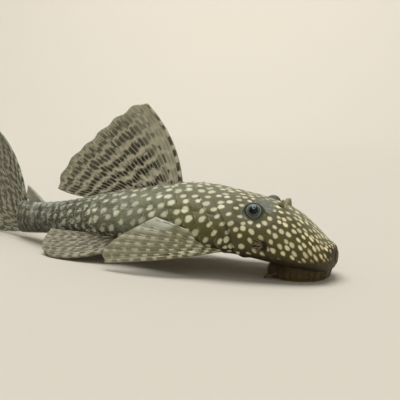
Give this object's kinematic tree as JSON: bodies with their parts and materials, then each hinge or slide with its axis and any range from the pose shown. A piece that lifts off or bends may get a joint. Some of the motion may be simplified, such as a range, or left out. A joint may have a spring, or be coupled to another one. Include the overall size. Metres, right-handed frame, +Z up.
{
  "type": "bristlenose pleco fish model",
  "caption": "Life-size armoured catfish resting on its sucker mouth, dorsal fin raised, pectoral and pelvic fins folded back and the tail swung to its left.",
  "frame": {"origin": "middle of the lower lip of the sucker mouth, on the surface the fish rests on", "axes": "+X towards the snout, +Y towards the fish's left, +Z up"},
  "size_m": [0.1239, 0.0541, 0.0414],
  "materials": {
    "skin": "satin",
    "tail_skin": "satin",
    "lips": "matte",
    "fins": "satin",
    "eyes": "gloss"
  },
  "bodies": {
    "root": {"head": "skin", "mouth_disc": "lips", "trunk": "skin", "tail": "tail_skin", "dorsal_fin": "fins", "adipose_fin": "fins", "anal_fin": "fins", "caudal_fin": "fins", "pectoral_fin_left": "fins", "pectoral_fin_right": "fins", "pelvic_fin_left": "fins", "pelvic_fin_right": "fins", "eye_left": "eyes", "eye_right": "eyes"}
  },
  "joints": []
}
